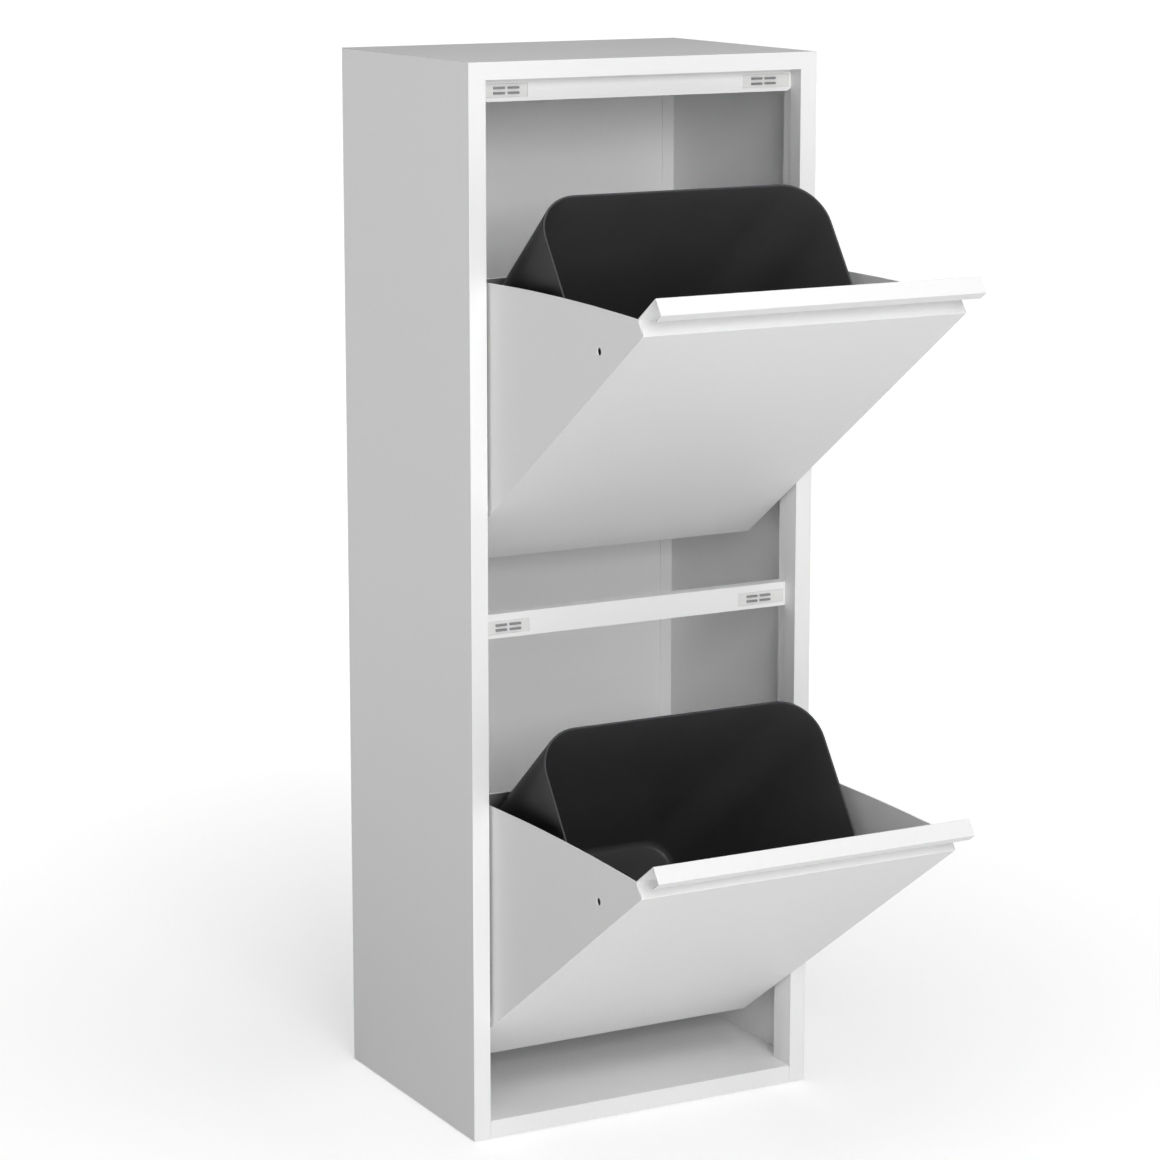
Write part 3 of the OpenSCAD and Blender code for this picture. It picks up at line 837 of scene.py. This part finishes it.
def turned(head, neck, collar, tail, edge, turn):
    """What a stud is grown from: the radius and length of its four lengths, its edges and its turn."""
    names = (
        "Head radius", "Head height", "Neck radius", "Neck length",
        "Collar radius", "Collar length", "Tail radius", "Tail length",
    )
    sizes = dict(zip(names, (*head, *neck, *collar, *tail)))
    return {**sizes, "Edge radius": edge, "Turn": [math.radians(angle) for angle in turn]}


def stud_seat(low, high, inward, head):
    """The point under the head of a stud that lies along X, with its head inward."""
    centre = (low + high) / 2
    return centre.x + inward * ((high.x - low.x) / 2 - head), centre.y, centre.z


# ---------------------------------------------------------------- operators


class CabinetStep:
    """What every step has in common. A step that can't finish raises an error."""

    bl_options = {"REGISTER", "UNDO"}

    def execute(self, context):
        """Makes the step's pieces."""
        self.make(context.scene)
        return {"FINISHED"}


class MakeCarcass(CabinetStep, bpy.types.Operator):
    """Fold and coat the cabinet's fixed sheets."""

    bl_idname = "cabinet.carcass"
    bl_label = "Fixed sheets"

    def make(self, scene):
        """Makes one piece for each sheet."""
        for node in CARCASS_SHEETS:
            sheet_piece(node, CARCASS)


class MakeBins(CabinetStep, bpy.types.Operator):
    """Fold and coat each bin's front, liner, wings and cradle."""

    bl_idname = "cabinet.bins"
    bl_label = "Tilting bins"

    def make(self, scene):
        """Makes one piece for each sheet."""
        for level in LEVELS:
            for kind in ("front", "liner", "cradle"):
                sheet_piece(f"{kind}_{level}", "bin_" + level)
            for side in SIDES:
                sheet_piece(f"wing_{level}_{side}", "bin_" + level)


class MakeCatches(CabinetStep, bpy.types.Operator):
    """Mould the catch housings and grow their pole strips and magnets."""

    bl_idname = "cabinet.catches"
    bl_label = "Catches"

    def make(self, scene):
        """Makes the housing, strips and magnets of each catch."""
        small = scene.cabinet_small_parts
        tree = bar_tree()
        for catch in CATCHES:
            small_piece("catch_" + catch, CARCASS)
            for kind in ("poles_", "magnets_"):
                node = kind + catch
                boxes = island_boxes(node)
                size = boxes[0][1] - boxes[0][0]
                points = [((low.x + high.x) / 2, low.y, (low.z + high.z) / 2) for low, high in boxes]
                values = {
                    "Length": size.x, "Depth": size.y, "Thickness": size.z, "Edge radius": small.strip_edge,
                }
                grow(node + "_bars", tree, CARCASS, node, points, values)


class MakePivots(CabinetStep, bpy.types.Operator):
    """Mould the pivot bushes and turn the pivot pins."""

    bl_idname = "cabinet.pivots"
    bl_label = "Pivots"

    def make(self, scene):
        """Makes a bush and a pin for each side of each bin."""
        small = scene.cabinet_small_parts
        tree = stud_tree()
        for level in LEVELS:
            for side, inward in zip(SIDES, (1, -1)):
                small_piece(f"bush_{level}_{side}", CARCASS)
                node = f"pin_{level}_{side}"
                low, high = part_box(node)
                head = (high.z - low.z) / 2
                tail = high.x - low.x - small.pin_head - small.wing_steel - small.pin_shoulder
                values = turned(
                    (head, small.pin_head), (small.pin_radius, small.wing_steel),
                    (head, small.pin_shoulder), (small.pin_radius, tail),
                    small.edge, (0, inward * 90, 0),
                )
                seat = stud_seat(low, high, inward, small.pin_head)
                grow(node + "_turned", tree, "bin_" + level, node, [seat], values)


class MakeStops(CabinetStep, bpy.types.Operator):
    """Mould the rubber buffers that end each bin's swing."""

    bl_idname = "cabinet.stops"
    bl_label = "Stop buffers"

    def make(self, scene):
        """Makes a buffer for each wing."""
        small = scene.cabinet_small_parts
        tree = stud_tree()
        for level in LEVELS:
            for side, inward in zip(SIDES, (1, -1)):
                node = f"stop_{level}_{side}"
                low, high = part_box(node)
                radius = (high.z - low.z) / 2
                half = (high.x - low.x - small.stop_head - small.wing_steel) / 2
                values = turned(
                    (radius - small.stop_step, small.stop_head), (radius / 2, small.wing_steel),
                    (radius, half), (radius, half),
                    small.stop_edge, (0, inward * 90, 0),
                )
                seat = stud_seat(low, high, inward, small.stop_head)
                grow(node + "_turned", tree, "bin_" + level, node, [seat], values)


class MakeRivets(CabinetStep, bpy.types.Operator):
    """Set the rivets that hold the back sheet."""

    bl_idname = "cabinet.rivets"
    bl_label = "Back rivets"

    def make(self, scene):
        """Makes all the rivets as one piece."""
        small = scene.cabinet_small_parts
        boxes = island_boxes("back_rivets")
        low, high = boxes[0]
        head = (high.x - low.x) / 2
        bulge = head * 0.75
        half = (high.y - low.y - small.rivet_head - small.rivet_grip) / 2
        seats = [((a.x + b.x) / 2, b.y - small.rivet_head, (a.z + b.z) / 2) for a, b in boxes]
        values = turned(
            (head, small.rivet_head), (head / 2, small.rivet_grip), (bulge, half), (bulge, half),
            small.rivet_head * 0.8, (-90, 0, 0),
        )
        grow("back_rivets_turned", stud_tree(), CARCASS, "back_rivets", seats, values)


class MakeGlides(CabinetStep, bpy.types.Operator):
    """Press the glides into the base."""

    bl_idname = "cabinet.glides"
    bl_label = "Foot glides"

    def make(self, scene):
        """Makes all the glides as one piece."""
        small = scene.cabinet_small_parts
        boxes = island_boxes("foot_glides")
        low, high = boxes[0]
        radius = (high.x - low.x) / 2
        # A plain stem, in three equal lengths.
        stem = (radius * 5 / 12, (high.z - low.z - small.glide_foot) / 3)
        seats = [((a.x + b.x) / 2, (a.y + b.y) / 2, a.z + small.glide_foot) for a, b in boxes]
        values = turned((radius, small.glide_foot), stem, stem, stem, small.edge * 2, (180, 0, 0))
        grow("foot_glides_turned", stud_tree(), CARCASS, "foot_glides", seats, values)


class MakeBuckets(CabinetStep, bpy.types.Operator):
    """Grow the tapered plastic buckets."""

    bl_idname = "cabinet.buckets"
    bl_label = "Buckets"

    def make(self, scene):
        """Makes a bucket for each bin."""
        bucket = scene.cabinet_buckets
        tree = bucket_tree()
        for level in LEVELS:
            node = "bucket_" + level
            up = lift_axis(level)
            deep = Vector((0, up.z, -up.y))
            rim, base, tall, foot = bucket_shape(node, up, deep)
            values = {
                "Rim half width": rim["half_width"], "Rim half depth": rim["half_depth"],
                "Side taper": rim["half_width"] - base["half_width"],
                "Front taper": base["front"] - rim["front"], "Rear taper": rim["rear"] - base["rear"],
                "Height": tall, "Wall": bucket.wall, "Rim corner": bucket.rim_corner,
                "Base corner": bucket.base_corner, "Base edge": bucket.base_edge,
                "Steps": bucket.around, "Tilt": [math.atan2(deep.z, deep.y), 0, 0],
            }
            grow(node + "_shell", tree, "bucket_tub_" + level, node, [foot], values)


def lift_axis(level):
    """The direction in which a bucket lifts out of its bin."""
    joint = next(j for j in frame["joints"] if j["name"] == "lift_" + level)
    return Vector(joint["axis"]).normalized()


def bucket_shape(node, up, deep):
    """A CAD bucket's outline at its rim and base, its height, and the point under its rim's middle."""
    points = [vert.co.copy() for vert in frame["nodes"][node].data.vertices]
    low = min(point.dot(up) for point in points)
    high = max(point.dot(up) for point in points)

    def outline(at, reach):
        near = [point for point in points if abs(point.dot(up) - at) < reach]
        return {
            "half_width": max(point.x for point in near),
            "front": min(point.dot(deep) for point in near),
            "rear": max(point.dot(deep) for point in near),
        }

    rim = outline(high, 0.1 * MM)
    edge = bpy.context.scene.cabinet_buckets.base_edge
    above = outline(low + edge, 0.6 * MM)
    grow = (high - low) / (high - low - edge)
    base = {key: rim[key] + (above[key] - rim[key]) * grow for key in rim}
    rim["half_depth"] = (rim["rear"] - rim["front"]) / 2
    foot = up * low + deep * (rim["front"] + rim["half_depth"])
    return rim, base, high - low, foot


class MakeStudio(CabinetStep, bpy.types.Operator):
    """Lay the floor, set the lights and stand the camera."""

    bl_idname = "cabinet.studio"
    bl_label = "Studio"

    def make(self, scene):
        """Makes the stage round the cabinet."""
        studio = scene.cabinet_studio
        low, high = FRAME_BOX
        lay_floor(studio, low.z)
        light_up(scene, studio, (low + high) / 2)
        stand_camera(scene, studio, (low + high) / 2)


def lay_floor(studio, height):
    """A wide pale floor that glows a little.

    What it is seen to glow grows evenly with distance. What it casts on the cabinet is less, and
    grows behind the cabinet more than in front.
    """
    sheet = bmesh.new()
    bmesh.ops.create_grid(sheet, x_segments=1, y_segments=1, size=studio.floor_reach)
    bmesh.ops.translate(sheet, verts=sheet.verts, vec=(0, 0, height))
    mesh = bpy.data.meshes.new("floor")
    sheet.to_mesh(mesh)
    sheet.free()
    material, board = new_finish("floor_board")
    cloud = noise(board, places(board), 800 * MM)
    x, y, _ = board.split(places(board))
    away = board.maths("SQRT", x * x + y * y)
    far = board.clamp((away - studio.glow_start) / studio.glow_run)
    behind = board.clamp((y + studio.glow_start) / studio.glow_run)
    far_glow = studio.front_glow + behind * (studio.back_glow - studio.front_glow)
    cast_glow = studio.near_glow + far * (far_glow - studio.near_glow)
    seen_glow = studio.seen_glow + far * (1.0 - studio.seen_glow)
    seen = board.node("ShaderNodeLightPath", out="Is Camera Ray")
    glow = cast_glow + seen * (seen_glow - cast_glow)
    surface(board, {
        "Base Color": mix(board, cloud, shade(studio.floor, 0.995), studio.floor),
        "Roughness": 0.9,
        "Emission Color": mix(board, glow, (0.0, 0.0, 0.0), (1.0, 1.0, 1.0)),
        "Emission Strength": 1.0,
    })
    mesh.materials.append(material)
    floor = bpy.data.objects.new("floor", mesh)
    bpy.context.scene.collection.objects.link(floor)


def soft_light(name, power, size, place_at, aim):
    """A soft square light turned to a point."""
    lamp = bpy.data.lights.new(name, "AREA")
    lamp.shape = "SQUARE"
    lamp.size = size
    lamp.energy = power
    light = bpy.data.objects.new(name, lamp)
    light.location = place_at
    light.rotation_euler = (place_at - aim).to_track_quat("Z", "Y").to_euler()
    bpy.context.scene.collection.objects.link(light)


def light_up(scene, studio, aim):
    """Even light all round with a pale backdrop, and soft lights before the front and overhead."""
    world = bpy.data.worlds.new("even_light")
    world.use_nodes = True
    board = Board(world.node_tree)
    _, _, height = board.split(board.node("ShaderNodeTexCoord", out="Object"))
    above = board.clamp(height / studio.haze)
    light = mix(board, above, (studio.horizon,) * 3, (studio.sky,) * 3)
    seen = board.node("ShaderNodeLightPath", out="Is Camera Ray")
    backdrop = mix(board, seen, light, (studio.backdrop,) * 3)
    sky = board.node("ShaderNodeBackground", None, {"Color": backdrop, "Strength": 1.0})
    board.node("ShaderNodeOutputWorld", None, {"Surface": sky})
    scene.world = world
    soft_light("front_light", studio.key, studio.key_size, aim + Vector(studio.key_place), aim)
    soft_light("top_light", studio.top, studio.top_size, aim + Vector(studio.top_place), aim)
    scene.view_settings.view_transform = "Standard"
    scene.view_settings.look = "None"


def stand_camera(scene, studio, centre):
    """The camera, looking slightly down on the cabinet from the left of its front."""
    turn = studio.azimuth
    drop = studio.elevation
    ahead = Vector((math.sin(turn) * math.cos(drop), math.cos(turn) * math.cos(drop), -math.sin(drop)))
    right = Vector((math.cos(turn), -math.sin(turn), 0))
    aim = centre + right * studio.aim_right + right.cross(ahead) * studio.aim_up
    lens = bpy.data.cameras.new("camera")
    lens.lens = studio.lens
    lens.sensor_width = FILM_WIDTH
    lens.shift_y = studio.shift
    camera = bpy.data.objects.new("camera", lens)
    camera.location = aim - ahead * studio.distance
    camera.rotation_euler = (math.radians(90) - drop, 0.0, -turn)
    scene.collection.objects.link(camera)
    scene.camera = camera


# ---------------------------------------------------------------- add-on


class CabinetPanel(bpy.types.Panel):
    """The steps and settings, in the sidebar."""

    bl_idname = "VIEW3D_PT_cabinet"
    bl_label = "Tilt-out cabinet"
    bl_space_type = "VIEW_3D"
    bl_region_type = "UI"
    bl_category = "Cabinet"

    def draw(self, context):
        """Lists each step's button and each group of settings."""
        for step in STEPS:
            self.layout.operator(step.bl_idname)
        for label, group in SETTINGS.items():
            box = self.layout.box()
            for key in group.__annotations__:
                box.prop(getattr(context.scene, label), key)


SETTINGS = {
    "cabinet_sheets": SheetSettings,
    "cabinet_small_parts": SmallPartSettings,
    "cabinet_buckets": BucketSettings,
    "cabinet_studio": StudioSettings,
}
STEPS = (
    MakeCarcass, MakeBins, MakeCatches, MakePivots, MakeStops, MakeRivets, MakeGlides,
    MakeBuckets, MakeStudio,
)


def register():
    """Registers the settings, the steps and the panel."""
    for label, group in SETTINGS.items():
        bpy.utils.register_class(group)
        setattr(bpy.types.Scene, label, PointerProperty(type=group))
    for kind in (*STEPS, CabinetPanel):
        bpy.utils.register_class(kind)


def unregister():
    """Takes them away again."""
    for kind in reversed((*STEPS, CabinetPanel)):
        bpy.utils.unregister_class(kind)
    for label, group in SETTINGS.items():
        delattr(bpy.types.Scene, label)
        bpy.utils.unregister_class(group)


def main():
    """Makes every piece in order."""
    register()
    bpy.ops.cabinet.carcass()
    bpy.ops.cabinet.bins()
    bpy.ops.cabinet.catches()
    bpy.ops.cabinet.pivots()
    bpy.ops.cabinet.stops()
    bpy.ops.cabinet.rivets()
    bpy.ops.cabinet.glides()
    bpy.ops.cabinet.buckets()
    bpy.ops.cabinet.studio()


if __name__ == "__main__":
    main()
